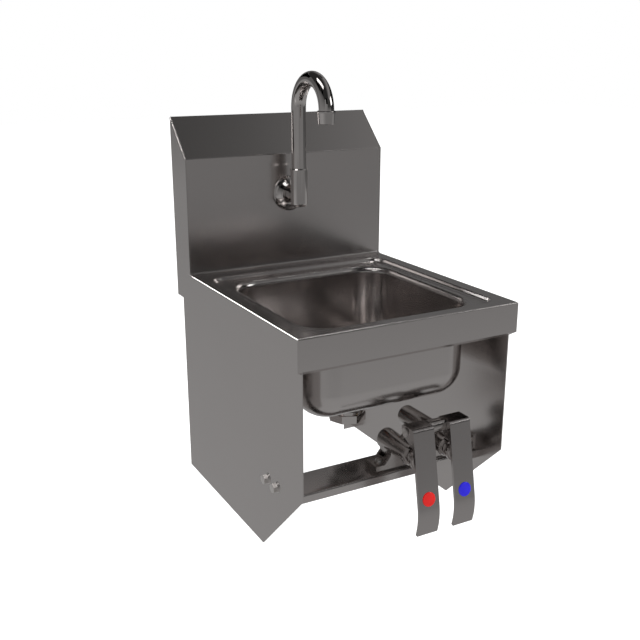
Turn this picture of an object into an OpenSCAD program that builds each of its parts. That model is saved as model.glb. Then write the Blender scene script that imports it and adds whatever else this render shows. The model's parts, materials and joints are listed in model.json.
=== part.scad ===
// Wall-hung stainless hand wash sink with twin knee levers and a swivel gooseneck spout
// X to the right, Y towards the wall (wall at y = 0), Z up from the top of the deck, millimetres

/* [Basin] */
// Overall width
basin_w = 318; // [290:1:380]
// Wall to front edge of the deck
basin_d = 386; // [380:1:410]
// Height of the aprons
apron_h = 40; // [30:1:50]
// Sheet thickness of basin and splash
sheet = 1.2; // [1:0.1:1.6]
// Bend radius on the outside of the rim
rim_r = 2; // [1.7:0.1:3]
// How far the return lip under the apron runs inward
lip_in = 8; // [6:0.5:10]
// How far the return lip drops
lip_drop = 6; // [5:0.5:8]
// Width of the flat rim at sides and front
rim_w = 15.5; // [14:0.5:18]
// Flat rim between splash and recess
rim_back = 25.6; // [22:0.1:30]
// Depth of the recessed shelf under the rim
recess_drop = 5.5; // [4.5:0.5:6]
// Corner radius of the recess
recess_r = 22; // [16:1:26]

/* [Bowl] */
// Width of the bowl between its walls
bowl_w = 240; // [225:1:242]
// Length of the bowl between its walls
bowl_l = 243; // [225:1:245]
// Front wall of the bowl behind the deck's front edge
bowl_set = 37; // [36:0.5:42]
// Depth of the bowl below the deck
bowl_depth = 133; // [115:1:140]
// Corner radius of the bowl's walls
bowl_corner_r = 42; // [40:1:46]
// Radius between walls and floor
bowl_floor_r = 38; // [30:1:39]
// Radius of the rounded mouth
mouth_r = 9; // [6:0.5:9]
// Radius of the dished seat for the drain
seat_r = 41; // [40:0.5:44]
// Depth of the dished seat
seat_drop = 2.5; // [2:0.1:3.5]

/* [Splash] */
// Depth of the splash
splash_d = 54.4; // [50:0.1:60]
// Height of the splash
splash_h = 218; // [190:1:250]
// Height of the vertical face before the slope
splash_face_h = 164; // [150:1:180]
// Cove radius between deck and splash
cove_r = 3; // [2.5:0.5:6]
// Flange on the wall at the top of the splash
top_flange = 22; // [15:1:30]

/* [Skirts] */
// Thickness of the skirts
skirt_t = 1.5; // [1.2:0.1:2]
// Bottom edge of the skirts below the deck
skirt_drop = 321; // [300:1:340]
// Front edge of the skirts behind the deck's front edge
skirt_set = 5; // [3:0.5:7]
// Size of the 45 degree cut at the lower front corner
skirt_cut = 114.5; // [90:0.5:120]
// Width of the skirts' wall flanges
skirt_flange = 22; // [18:1:30]

/* [Wall bracket] */
// Width of the bracket
bracket_w = 220; // [200:1:240]
// Thickness of the bracket
bracket_t = 3; // [2.5:0.1:3.5]
// Hole spacing across
bracket_sx = 160; // [140:1:180]
// Hole spacing up and down
bracket_sz = 30; // [24:1:34]
// Radius of the wall holes
bracket_hole_r = 3.5; // [3:0.1:4.5]
// Half height of the flat plate
bracket_half_h = 28; // [26:1:34]

/* [Valve rail] */
// Sheet thickness of the rail
rail_t = 2; // [1.5:0.1:2.5]
// Top of the rail below the deck
rail_drop = 228; // [220:1:235]
// Width of the rail
rail_w = 55; // [53:1:60]
// Front face of the rail behind the deck's front edge
rail_set = 56; // [52:1:58]
// Height of the rail's front lip
rail_lip = 12; // [10:0.5:16]
// Height of the turned-up ends
rail_tab = 23; // [20:1:28]
// Distance between the two bolts at each end
rail_bolt_pitch = 27; // [24:1:30]
// Thread radius of the rail bolts
rail_bolt_r = 3; // [2.5:0.1:3.2]
// Across flats of the rail bolts
rail_bolt_af = 11; // [10:0.5:12]

/* [Faucet] */
// Height of the neck above the deck
neck_z = 106; // [100:1:112]
// Distance of the spout's axis from the wall
spout_y = 87; // [84:1:95]
// Outside radius of the spout tube
spout_r = 10.4; // [10:0.1:11]
// Wall of the spout tube
spout_wall = 1.5; // [1.2:0.1:2]
// Radius of the gooseneck's centre line
arch_r = 40; // [32:1:50]
// Height where the gooseneck begins
arch_z = 230.4; // [220:0.1:250]
// Radius of the faucet body
faucet_r = 12.1; // [11.9:0.1:13]
// Top of the faucet body
faucet_top = 143; // [138:1:150]
// Bottom of the faucet body
faucet_bottom = 91; // [86:1:93]
// Radius of the neck
neck_r = 11.1; // [10.9:0.1:11.6]
// Radius of the escutcheon
escutcheon_r = 25.5; // [24:0.5:32]
// Thread radius of the shank
shank_r = 10.3; // [9.6:0.1:10.6]

/* [Drain] */
// Radius of the drain's flange
drain_flange_r = 38; // [36:0.5:39]
// Thread radius of the drain body
drain_r = 24; // [22:0.5:25]
// Bore radius of the drain body
drain_bore_r = 20; // [19.5:0.1:20.5]
// Length of the drain body below the bowl
drain_len = 47; // [44:1:55]
// Radius of the tail tube that the slip nut takes
tail_r = 19.3; // [18.8:0.1:19.4]

/* [Valve] */
// Middle of the valve casting from the sink's middle
valve_x = 52.8; // [48:0.1:56]
// Distance between hot and cold barrels
valve_pitch = 57; // [56.5:0.1:60]
// Radius of the barrels at the front
barrel_r = 12.4; // [12:0.1:13]
// Radius of the barrels at the rear
barrel_rear_r = 15; // [13.5:0.1:15.2]
// Height of the barrels' axes above the rail
barrel_rise = 31; // [29.5:0.5:33]
// Length of the barrels
barrel_l = 63; // [58:1:65]
// Front end of the barrels in front of the rail
barrel_lead = 20; // [19:0.5:21]
// Radius of the mixing barrel
mixer_r = 13.8; // [13:0.1:14.5]
// Height of the mixing barrel above the hot and cold barrels
mixer_rise = 30; // [29:0.5:32]
// Radius of the pivot hub
hub_r = 9; // [8.5:0.1:10]
// Thickness of the feet
foot_t = 9; // [7:0.5:10]
// Radius of the stems
stem_r = 3; // [2.5:0.1:3.2]

/* [Levers] */
// Width of a knee plate
lever_w = 32; // [28:0.5:34]
// Thickness of a knee plate
lever_t = 4; // [3:0.1:4.2]
// Lean of the plate away from the wall, in degrees
lever_lean = 10.55; // [9:0.05:12]
// Front corner of the lever's top behind the deck's front edge
lever_set = 9; // [8:0.1:9.5]
// Top of the lever below the deck
lever_top_drop = 150; // [149:0.1:151]
// Height of the lever from its top to the start of its curl
lever_h = 119; // [100:1:130]
// Pivot behind the front corner of the lever's top
pivot_set = 16; // [15.5:0.1:16.5]
// Radius of the curl at the lever's foot
lever_curl_r = 78; // [40:1:80]
// Pivot below the lever's top
pivot_drop = 8; // [7.5:0.1:8.5]
// Radius of the pivot pin
pin_r = 3.5; // [3:0.1:3.8]
// Radius of the index dots
dot_r = 9.7; // [8:0.1:12]
// Dots below the lever's top
dot_drop = 92.5; // [80:0.5:100]

/* [Clearances] */
// Running clearance on a radius
run_gap = 0.05; // [0.02:0.01:0.08]
// Free gap between pieces that move apart
free_gap = 0.3; // [0.25:0.05:0.4]
// Radial room round a fastener
bolt_gap = 0.4; // [0.3:0.05:0.6]

/* [Hidden] */
// Overrun of every cut
over = 1;
half_w = basin_w / 2;
skirt_x = half_w - lip_in;
bowl_cy = -basin_d + bowl_set + bowl_l / 2;
skirt_d = basin_d - skirt_set;
rail_front = basin_d - rail_set;
rail_back = rail_front - rail_w;
barrel_front = rail_front + barrel_lead;
barrel_back = barrel_front - barrel_l;
lever_front = basin_d - lever_set;
pivot_y = lever_front - pivot_set;
$fn = 48;

// Bent sheet: a path of points, a turn radius at each corner, and a thickness to the left of the path
function unit(v) = v / norm(v);
function left_of(v) = [-v[1], v[0]];
function turn(a, b) = a[0] * b[1] - a[1] * b[0];
function side_normal(p, i) = left_of(unit(p[i + 1] - p[i]));
function mitre(a, b) = (a + b) / (1 + a * b);
function offset_path(p, d) = [for (i = [0:len(p) - 1])
    p[i] + d * (i == 0 ? side_normal(p, 0)
        : i == len(p) - 1 ? side_normal(p, i - 1)
        : mitre(side_normal(p, i - 1), side_normal(p, i)))];
function arc_points(c, from, sweep, steps) = [for (k = [0:steps])
    let (a = sweep * k / steps)
    c + [from[0] * cos(a) - from[1] * sin(a), from[0] * sin(a) + from[1] * cos(a)]];
function corner(a, b, c, r, steps) =
    let (u = unit(b - a), v = unit(c - b), s = turn(u, v), angle = acos(max(-1, min(1, u * v))))
    abs(s) < 0.001 || r <= 0 ? [b]
    : let (w = s > 0 ? 1 : -1, start = b - u * r * tan(angle / 2), centre = start + w * r * left_of(u))
      arc_points(centre, start - centre, w * angle, steps);
function round_path(p, r, steps) = [for (i = [0:len(p) - 1])
    each (i == 0 || i == len(p) - 1 ? [p[i]] : corner(p[i - 1], p[i], p[i + 1], r[i], steps))];
function turns_left(p, i) = turn(p[i] - p[i - 1], p[i + 1] - p[i]) > 0;
function is_end(p, i) = i == 0 || i == len(p) - 1;
function reversed(p) = [for (i = [len(p) - 1:-1:0]) p[i]];

// inner holds the radius inside each bend, from the path's second point on; a zero leaves that bend sharp
module bent_sheet(p, t, inner, steps = 6) {
    near = [for (i = [0:len(p) - 1]) is_end(p, i) || inner[i - 1] == 0 ? 0
        : inner[i - 1] + (turns_left(p, i) ? t : 0)];
    far = [for (i = [0:len(p) - 1]) is_end(p, i) || inner[i - 1] == 0 ? 0
        : inner[i - 1] + (turns_left(p, i) ? 0 : t)];
    polygon(concat(round_path(p, near, steps), reversed(round_path(offset_path(p, t), far, steps))));
}

// A profile in the YZ plane, drawn as (y, z), carried along X from x0 to x1
module along_x(x0, x1) {
    translate([x0, 0, 0]) rotate([90, 0, 90]) linear_extrude(x1 - x0) children();
}

// A profile in the XZ plane, drawn as (x, z), carried along Y from y0 to y1
module along_y(y0, y1) {
    translate([0, y1, 0]) rotate([90, 0, 0]) linear_extrude(y1 - y0) children();
}

// Round bar or bore along Y or X
module rod_y(x, z, r, y0, y1) {
    translate([x, y1, z]) rotate([90, 0, 0]) cylinder(r = r, h = y1 - y0);
}
module rod_x(y, z, r, x0, x1) {
    translate([x0, y, z]) rotate([0, 90, 0]) cylinder(r = r, h = x1 - x0);
}

// A pan with round corners: its wall profile is drawn as (distance out from the corner's centre, z)
module pan(half_x, half_y, corner_r, profile, z_low, z_high) {
    cx = half_x - corner_r;
    cy = half_y - corner_r;
    for (q = [0:3])
        translate([(q == 0 || q == 3 ? cx : -cx), (q < 2 ? cy : -cy), 0])
            rotate([0, 0, 90 * q]) rotate_extrude(angle = 90) polygon(profile);
    for (s = [0, 1])
        rotate([0, 0, 180 * s]) translate([cx, cy, 0]) rotate([90, 0, 0])
            linear_extrude(2 * cy) polygon(profile);
    for (s = [0, 1])
        rotate([0, 0, 90 + 180 * s]) translate([cy, cx, 0]) rotate([90, 0, 0])
            linear_extrude(2 * cx) polygon(profile);
    translate([-cx, -cy, z_low]) cube([2 * cx, 2 * cy, z_high - z_low]);
}

function quarter(c, r, from, sweep, steps = 10) = [for (k = [0:steps])
    let (a = from + sweep * k / steps) c + r * [cos(a), sin(a)]];

// Basin
recess_half_x = half_w - rim_w;
recess_y0 = -basin_d + rim_w;
recess_y1 = -splash_d - rim_back;
recess_half_y = (recess_y1 - recess_y0) / 2;
recess_cy = (recess_y1 + recess_y0) / 2;
shelf_z = -recess_drop;
slope_angle = 60;
fillet_r = recess_drop / 2 / (1 - cos(slope_angle));
recess_run = 2 * fillet_r * sin(slope_angle);
floor_z = -bowl_depth;
drain_hole_r = drain_r + bolt_gap;
deck_back = -splash_d - cove_r;

function lip_outer(out, top, r, low) = concat(
    [[-out + lip_in, low], [-out + lip_in, -apron_h - lip_drop], [-out, -apron_h], [-out, top - r]],
    quarter([-out + r, top - r], r, 180, -90, 5),
    quarter([out - r, top - r], r, 90, -90, 5),
    [[out, top - r], [out, -apron_h], [out - lip_in, -apron_h - lip_drop], [out - lip_in, low]]);

// Tray profile: shelf, fillet, slope and rounded crest; d is how far it lies outside the visible face
function tray_profile(d, top) = concat(
    [[0, shelf_z - d], [recess_r - recess_run, shelf_z - d]],
    quarter([recess_r - recess_run, shelf_z + fillet_r], fillet_r + d, 270, slope_angle, 6),
    quarter([recess_r, -fillet_r], fillet_r - d, 90 + slope_angle, -slope_angle, 6),
    [[recess_r, top], [0, top]]);

// Bowl profile: floor, floor radius, wall, rounded mouth; d is the sheet behind the visible face
function bowl_profile(d, top) = concat(
    [[0, floor_z - d], [bowl_corner_r - bowl_floor_r, floor_z - d]],
    quarter([bowl_corner_r - bowl_floor_r, floor_z + bowl_floor_r], bowl_floor_r + d, 270, 90),
    quarter([bowl_corner_r + mouth_r, shelf_z - mouth_r], mouth_r - d, 180, -90),
    [[bowl_corner_r + mouth_r, top]],
    [[0, top]]);

module basin_bowl(d, top) {
    translate([0, bowl_cy, 0])
        pan(bowl_w / 2, bowl_l / 2, bowl_corner_r, bowl_profile(d, top), floor_z - d, top);
}

module basin_tray(d, top) {
    translate([0, recess_cy, 0])
        pan(recess_half_x, recess_half_y, recess_r, tray_profile(d, top), shelf_z - d, top);
}

module box_outer() {
    intersection() {
        along_y(-basin_d - over, deck_back)
            polygon(lip_outer(half_w, 0, rim_r, -apron_h - lip_drop));
        along_x(-half_w - over, half_w + over) polygon(concat(
            [[over, -apron_h - lip_drop], [-basin_d + lip_in, -apron_h - lip_drop], [-basin_d, -apron_h]],
            quarter([-basin_d + rim_r, -rim_r], rim_r, 180, -90, 5),
            [[over, 0]]));
    }
    for (s = [-1, 1])
        along_y(deck_back, 0) polygon([[s * half_w, 0], [s * half_w, -apron_h],
            [s * skirt_x, -apron_h - lip_drop], [s * skirt_x, -apron_h], [s * (half_w - sheet), -apron_h / 2],
            [s * (half_w - sheet), 0]]);
}

// Space inside the aprons and above their lips
module box_inner() {
    lip_slope = lip_drop / lip_in;
    lip_back = sheet * (sqrt(1 + lip_slope * lip_slope) - lip_slope);
    intersection() {
        along_y(-basin_d - over, over) polygon([
            [-skirt_x, -apron_h - lip_drop - over],
            [-skirt_x, -apron_h - lip_drop + lip_back + sheet * lip_slope],
            [-half_w + sheet, -apron_h + lip_back], [-half_w + sheet, -sheet],
            [half_w - sheet, -sheet], [half_w - sheet, -apron_h + lip_back],
            [skirt_x, -apron_h - lip_drop + lip_back + sheet * lip_slope],
            [skirt_x, -apron_h - lip_drop - over]]);
        along_x(-half_w, half_w) polygon([
            [-basin_d + lip_in, -apron_h - lip_drop - over],
            [-basin_d + lip_in, -apron_h - lip_drop + lip_back + sheet * lip_slope],
            [-basin_d + sheet, -apron_h + lip_back], [-basin_d + sheet, -sheet],
            [over, -sheet], [over, -apron_h - lip_drop - over]]);
    }
}

module basin() {
    color([0.72, 0.71, 0.7]) difference() {
        union() {
            difference() {
                box_outer();
                box_inner();
                translate([0, recess_cy, 0])
                    pan(recess_half_x, recess_half_y, recess_r,
                        [[0, -sheet - over], [recess_r, -sheet - over], [recess_r, over], [0, over]],
                        -sheet - over, over);
            }
            basin_tray(sheet, 0);
            basin_bowl(sheet, shelf_z);
            translate([0, bowl_cy, floor_z - sheet - seat_drop])
                cylinder(r1 = seat_r - seat_drop, r2 = seat_r + sheet, h = seat_drop + sheet);
        }
        basin_tray(0, over);
        basin_bowl(0, over);
        translate([0, bowl_cy, floor_z - seat_drop])
            cylinder(r1 = seat_r - seat_drop, r2 = seat_r, h = seat_drop);
        translate([0, bowl_cy, floor_z - seat_drop - sheet - over])
            cylinder(r = drain_hole_r, h = seat_drop + sheet + 2 * over);
    }
}

// Splash
module backsplash() {
    color([0.66, 0.65, 0.64]) difference() {
        along_x(-half_w + sheet, half_w - sheet)
            bent_sheet([[0, splash_h - top_flange], [0, splash_h], [-splash_d, splash_face_h], [-splash_d, 0],
                [deck_back, 0]], sheet, [0, sheet, cove_r]);
        rod_y(0, neck_z, shank_r + bolt_gap, -splash_d - over, -splash_d + sheet + over);
    }
}

module splash_end() {
    polygon(concat([[0, 0], [0, splash_h], [-splash_d, splash_face_h]],
        quarter([-splash_d - cove_r, cove_r], cove_r, 0, -90, 6)));
}

module splash_end_left() {
    color([0.74, 0.73, 0.72]) along_x(-half_w, -half_w + sheet) splash_end();
}

module splash_end_right() {
    color([0.74, 0.73, 0.72]) along_x(half_w - sheet, half_w) splash_end();
}

// Skirts
skirt_top = -apron_h;
lip_z = -apron_h - lip_drop;
rail_z = -rail_drop;
rail_bolt_z = rail_z + rail_tab / 2;
rail_mid = -(rail_back + rail_front) / 2 + rail_t;
rail_bolt_ys = [rail_mid - rail_bolt_pitch / 2, rail_mid + rail_bolt_pitch / 2];
flange_hole_r = bracket_hole_r;
flange_hole_top = 100;
flange_hole_low = 41;
flange_hole_pitch = skirt_drop - flange_hole_top - flange_hole_low;

module skirt(side) {
    x0 = side > 0 ? skirt_x - skirt_t : -skirt_x;
    color([0.75, 0.74, 0.73]) difference() {
        union() {
            along_x(x0, x0 + skirt_t) polygon([
                [0, skirt_top], [0, -skirt_drop], [-skirt_d + skirt_cut, -skirt_drop],
                [-skirt_d, -skirt_drop + skirt_cut],
                [-skirt_d, lip_z + (skirt_d - basin_d + lip_in) * lip_drop / lip_in],
                [-basin_d + lip_in, lip_z], [-basin_d + lip_in, skirt_top]]);
            translate([side > 0 ? skirt_x - skirt_flange : -skirt_x, -skirt_t, -skirt_drop])
                cube([skirt_flange, skirt_t, skirt_drop + skirt_top]);
        }
        for (y = rail_bolt_ys) rod_x(y, rail_bolt_z, rail_bolt_r + bolt_gap, x0 - over, x0 + skirt_t + over);
        for (k = [0, 1])
            rod_y(side * (skirt_x - skirt_flange / 2), -flange_hole_top - k * flange_hole_pitch,
                flange_hole_r,
                -skirt_t - over, over);
    }
}

module skirt_left() { skirt(-1); }
module skirt_right() { skirt(1); }

// Wall bracket and the strip that hangs on it
hook_jog = bracket_t + 2 * bracket_t + free_gap;
hook_z = bracket_half_h + 2 * bracket_t;
hook_top = hook_z + 5 * bracket_t;
strip_t = 2;
strip_h = 14;

module wall_bracket() {
    color([0.6, 0.62, 0.64]) difference() {
        along_x(-bracket_w / 2, bracket_w / 2)
            bent_sheet([[0, -bracket_half_h], [0, bracket_half_h], [-hook_jog + bracket_t, hook_z],
                [-hook_jog + bracket_t, hook_top]], bracket_t, [bracket_t / 2, bracket_t / 2]);
        for (sx = [-1, 1]) for (sz = [-1, 1])
            rod_y(sx * bracket_sx / 2, sz * bracket_sz / 2, bracket_hole_r, -bracket_t - over, over);
    }
}

module hanger_strip() {
    strip_back = -hook_jog + bracket_t + free_gap;
    color([0.64, 0.64, 0.64]) along_x(-bracket_w / 2 + bracket_t, bracket_w / 2 - bracket_t)
        bent_sheet([[-splash_d + sheet, hook_top + strip_t + 2 * strip_h], [-splash_d + sheet, hook_top],
            [strip_back, hook_top], [strip_back, hook_top - strip_h]], strip_t, [strip_t / 2, 0]);
}

// Valve rail
rail_end = skirt_x - skirt_t;
tab_front = rail_front - 2 * rail_t;

module rail_tab_plate(side) {
    translate([side > 0 ? rail_end - rail_t : -rail_end, -tab_front, rail_z - rail_t])
        cube([rail_t, tab_front - rail_back, rail_tab + rail_t]);
}

module valve_rail() {
    color([0.6, 0.6, 0.6]) difference() {
        union() {
            along_x(-rail_end, rail_end)
                bent_sheet([[-rail_back, rail_z], [-rail_front, rail_z], [-rail_front, rail_z - rail_lip]],
                    rail_t, [rail_t / 2]);
            for (s = [-1, 1]) rail_tab_plate(s);
        }
        for (s = [-1, 1]) for (y = rail_bolt_ys)
            rod_x(y, rail_bolt_z, rail_bolt_r + bolt_gap,
                s * rail_end - rail_t - over, s * rail_end + rail_t + over);
        for (x = foot_screw_xs)
            translate([x, foot_screw_y, rail_z - rail_t - over])
                cylinder(r = foot_screw_r + bolt_gap, h = rail_t + 2 * over);
    }
}

bolt_head_h = 6;
bolt_crown = 0.7;
lock_t = 1.6;
lock_r = 6.2;
bolt_end = 4;
washer_t = 1.2;
washer_r = 7;
nut_h = 4.5;

module hexagon(af, h) { cylinder(r = af / sqrt(3), h = h, $fn = 6); }

module rail_bolt(side, y) {
    corner_r = rail_bolt_af / sqrt(3);
    head_z = washer_t + lock_t;
    tail = skirt_t + rail_t + nut_h + bolt_end;
    translate([side * skirt_x, y, rail_bolt_z]) rotate([0, side * 90, 0]) {
        intersection() {
            translate([0, 0, head_z]) hexagon(rail_bolt_af, bolt_head_h + bolt_crown);
            rotate_extrude() polygon([[0, head_z], [corner_r, head_z],
                [corner_r, head_z + bolt_head_h - bolt_crown],
                [rail_bolt_af / 2 - bolt_crown, head_z + bolt_head_h],
                [0, head_z + bolt_head_h + bolt_crown]]);
        }
        translate([0, 0, washer_t]) cylinder(r = lock_r, h = lock_t);
        cylinder(r = washer_r, h = washer_t);
        translate([0, 0, -tail]) cylinder(r = rail_bolt_r, h = tail + washer_t);
    }
}

module rail_bolts() {
    color([0.8, 0.8, 0.8]) for (s = [-1, 1]) for (y = rail_bolt_ys) rail_bolt(s, y);
}

module rail_nuts() {
    color([0.7, 0.7, 0.7]) for (s = [-1, 1]) for (y = rail_bolt_ys)
        translate([s * (rail_end - rail_t), y, rail_bolt_z]) rotate([0, -s * 90, 0]) difference() {
            hexagon(rail_bolt_af, nut_h);
            translate([0, 0, -over]) cylinder(r = rail_bolt_r + run_gap, h = nut_h + 2 * over);
        }
}

// Drain
seat_z = floor_z - seat_drop;
under_z = seat_z - sheet;
drain_flange_t = 2;
drain_end = floor_z - drain_len;
gasket_t = 3;
friction_t = 1.2;
locknut_h = 9;
ring_step = 3;

module ring(r_in, r_out, z, h) {
    translate([0, bowl_cy, z]) difference() {
        cylinder(r = r_out, h = h);
        translate([0, 0, -over]) cylinder(r = r_in, h = h + 2 * over);
    }
}

module drain_body() {
    color([0.82, 0.82, 0.82]) translate([0, bowl_cy, 0]) rotate_extrude() polygon([
        [drain_bore_r, drain_end], [drain_r, drain_end], [drain_r, seat_z], [drain_flange_r, seat_z],
        [drain_flange_r, seat_z + drain_flange_t / 2],
        [drain_flange_r - drain_flange_t, seat_z + drain_flange_t],
        [drain_r + drain_flange_t, seat_z + drain_flange_t], [drain_bore_r, seat_z - drain_flange_t]]);
}

module drain_strainer() {
    grid_r = drain_bore_r - run_gap;
    hole_r = 1.6;
    color([0.8, 0.8, 0.8]) translate([0, bowl_cy, seat_z - 4 * drain_flange_t]) difference() {
        cylinder(r = grid_r, h = drain_flange_t);
        for (row = [1:3]) for (k = [0:6 * row - 1])
            rotate([0, 0, 360 * k / (6 * row)]) translate([row * grid_r / 4 + row * hole_r / 2, 0, -over])
                cylinder(r = hole_r, h = drain_flange_t + 2 * over);
        translate([0, 0, -over]) cylinder(r = hole_r, h = drain_flange_t + 2 * over);
    }
}

module drain_gasket() {
    color([0.12, 0.12, 0.12])
        ring(drain_r + run_gap, drain_flange_r - drain_flange_t, under_z - gasket_t, gasket_t);
}

module drain_washer() {
    color([0.7, 0.62, 0.5])
        ring(drain_r + run_gap, drain_flange_r - drain_flange_t, under_z - gasket_t - friction_t, friction_t);
}

module drain_locknut() {
    top = under_z - gasket_t - friction_t;
    lug_w = 9;
    lug_reach = 3;
    rim = drain_flange_r - drain_flange_t - lug_reach;
    color([0.6, 0.6, 0.58]) difference() {
        translate([0, bowl_cy, top - locknut_h]) {
            cylinder(r = rim, h = locknut_h);
            for (k = [0:3]) rotate([0, 0, 90 * k + 45]) translate([rim - lug_reach, -lug_w / 2, 0])
                cube([2 * lug_reach, lug_w, locknut_h]);
        }
        translate([0, bowl_cy, top - locknut_h - over])
            cylinder(r = drain_r + run_gap, h = locknut_h + 2 * over);
    }
}

slip_af = 50;
slip_sides = 8;
slip_h = 11.5;
slip_ring_r = 25.6;
slip_bottom = drain_end - 2 * ring_step;
slip_lip = 3;

module slip_nut() {
    collar_z = slip_bottom + slip_h;
    color([0.8, 0.8, 0.8]) translate([0, bowl_cy, 0]) difference() {
        union() {
            translate([0, 0, slip_bottom])
                cylinder(r = slip_af / 2 / cos(180 / slip_sides), h = slip_h, $fn = slip_sides);
            translate([0, 0, collar_z]) cylinder(r = slip_ring_r - ring_step / 2, h = 2 * ring_step);
            translate([0, 0, collar_z + ring_step / 3]) cylinder(r = slip_ring_r, h = ring_step / 2);
            translate([0, 0, collar_z + ring_step]) cylinder(r = slip_ring_r + ring_step / 3, h = ring_step);
        }
        translate([0, 0, slip_bottom + slip_lip])
            cylinder(r = drain_r + run_gap, h = slip_h + 2 * ring_step + over);
        translate([0, 0, slip_bottom - over]) cylinder(r = tail_r, h = slip_lip + 2 * over);
    }
}

module slip_washer() {
    color([0.15, 0.15, 0.15])
        ring(tail_r + free_gap, drain_r - free_gap, slip_bottom + slip_lip,
            drain_end - slip_bottom - slip_lip);
}

// Faucet
shank_end = -8;
shank_front = -splash_d - 2 * sheet;
shank_bore_r = 5.5;
neck_bore_r = 7;
escutcheon_rise = 10.5;
escutcheon_edge = 2;
collar_wall = 5.2;
supply_r = 9.5;
supply_l = 30;
shank_washer_t = 1.5;
shank_nut_h = 8;
shank_nut_af = 30;
body_bore_r = spout_r + run_gap;
spout_depth = 27;
faucet_corner = 5;
spout_foot = faucet_top - spout_depth;
nut_rise = 3;

// Height of the escutcheon's dished face, falling from the collar to the rim
function dish(hole, k, steps) = let (u = k / steps)
    [hole + collar_wall + (escutcheon_r - hole - collar_wall) * u,
        escutcheon_edge + (escutcheon_rise - 2 * escutcheon_edge) * (1 - sin(90 * u))];

module faucet_escutcheon() {
    hole_r = neck_r + free_gap;
    face = [for (k = [0:8]) dish(hole_r, k, 8)];
    color([0.85, 0.85, 0.86]) translate([0, -splash_d, neck_z]) rotate([90, 0, 0])
        rotate_extrude() polygon(concat(
            [[hole_r, escutcheon_edge], [hole_r, escutcheon_rise],
                [hole_r + collar_wall - sheet, escutcheon_rise],
                [hole_r + collar_wall, escutcheon_rise - sheet]],
            face, [[escutcheon_r, 0], [escutcheon_r - sheet, 0],
                [escutcheon_r - sheet, escutcheon_edge - sheet / 2]]));
}

module faucet_shank() {
    color([0.72, 0.6, 0.35]) difference() {
        union() {
            rod_y(0, neck_z, shank_r, shank_front, shank_end - supply_l);
            rod_y(0, neck_z, supply_r, shank_end - supply_l, shank_end);
            rod_y(0, neck_z, neck_bore_r - run_gap, shank_front - 2 * neck_bore_r, shank_front);
        }
        rod_y(0, neck_z, shank_bore_r, shank_front - 2 * neck_bore_r - over, shank_end + over);
    }
}

module shank_washer() {
    color([0.5, 0.5, 0.5]) difference() {
        rod_y(0, neck_z, shank_nut_af / 2 + sheet, -splash_d + sheet, -splash_d + sheet + shank_washer_t);
        rod_y(0, neck_z, shank_r + bolt_gap, -splash_d, -splash_d + sheet + shank_washer_t + over);
    }
}

module shank_nut() {
    y0 = -splash_d + sheet + shank_washer_t;
    color([0.72, 0.6, 0.35]) difference() {
        translate([0, y0 + shank_nut_h, neck_z]) rotate([90, 0, 0]) hexagon(shank_nut_af, shank_nut_h);
        rod_y(0, neck_z, shank_r + run_gap, y0 - over, y0 + shank_nut_h + over);
    }
}

module faucet_body() {
    color([0.85, 0.85, 0.86]) difference() {
        union() {
            translate([0, -spout_y, 0]) rotate_extrude() polygon(concat(
                [[0, faucet_bottom]],
                quarter([faucet_r - faucet_corner, faucet_bottom + faucet_corner], faucet_corner, 270, 90, 8),
                [[faucet_r, faucet_top], [0, faucet_top]]));
            rod_y(0, neck_z, neck_r, -spout_y, shank_front);
        }
        rod_y(0, neck_z, neck_bore_r, -spout_y, shank_front + over);
        translate([0, -spout_y, neck_z - neck_bore_r])
            cylinder(r = neck_bore_r, h = spout_foot - neck_z + neck_bore_r);
        translate([0, -spout_y, spout_foot - free_gap])
            cylinder(r = body_bore_r, h = faucet_top - spout_foot + free_gap + over);
    }
}

module spout_nut() {
    color([0.85, 0.85, 0.86]) translate([0, -spout_y, faucet_top]) difference() {
        rotate_extrude() polygon([[0, 0], [faucet_r + nut_rise / 4, 0],
            [faucet_r + nut_rise / 4, nut_rise / 2],
            [faucet_r - nut_rise / 4, nut_rise], [0, nut_rise]]);
        translate([0, 0, -over]) cylinder(r = body_bore_r, h = nut_rise + 2 * over);
    }
}

sleeve_len = 17.4;
sleeve_mouth = arch_z - sleeve_len;
spout_tip = sleeve_mouth + sleeve_len / 4;
sleeve_wall = 2.2;
sleeve_lip = 0.9;

module spout_solid(r, extra) {
    translate([0, -spout_y, spout_foot - extra]) cylinder(r = r, h = arch_z - spout_foot + extra);
    translate([0, -spout_y - arch_r, arch_z]) rotate([0, 0, -90]) rotate([90, 0, 0])
        rotate_extrude(angle = 180) translate([arch_r, 0]) circle(r = r);
    translate([0, -spout_y - 2 * arch_r, spout_tip - extra]) cylinder(r = r, h = arch_z - spout_tip + extra);
}

seal_r = 0.5;
seal_zs = [spout_foot + 4 * seal_r * 2, spout_foot + 12 * seal_r * 2];

module spout() {
    color([0.86, 0.86, 0.87]) difference() {
        spout_solid(spout_r, 0);
        spout_solid(spout_r - spout_wall, over);
        for (z = seal_zs) translate([0, -spout_y, z - seal_r - run_gap]) difference() {
            cylinder(r = spout_r + over, h = 2 * (seal_r + run_gap));
            cylinder(r = spout_r - 2 * seal_r - run_gap, h = 2 * (seal_r + run_gap));
        }
    }
}

module spout_seals() {
    color([0.1, 0.1, 0.1]) for (z = seal_zs) translate([0, -spout_y, z])
        rotate_extrude() translate([spout_r - seal_r - run_gap / 2, 0]) circle(r = seal_r, $fn = 24);
}

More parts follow.
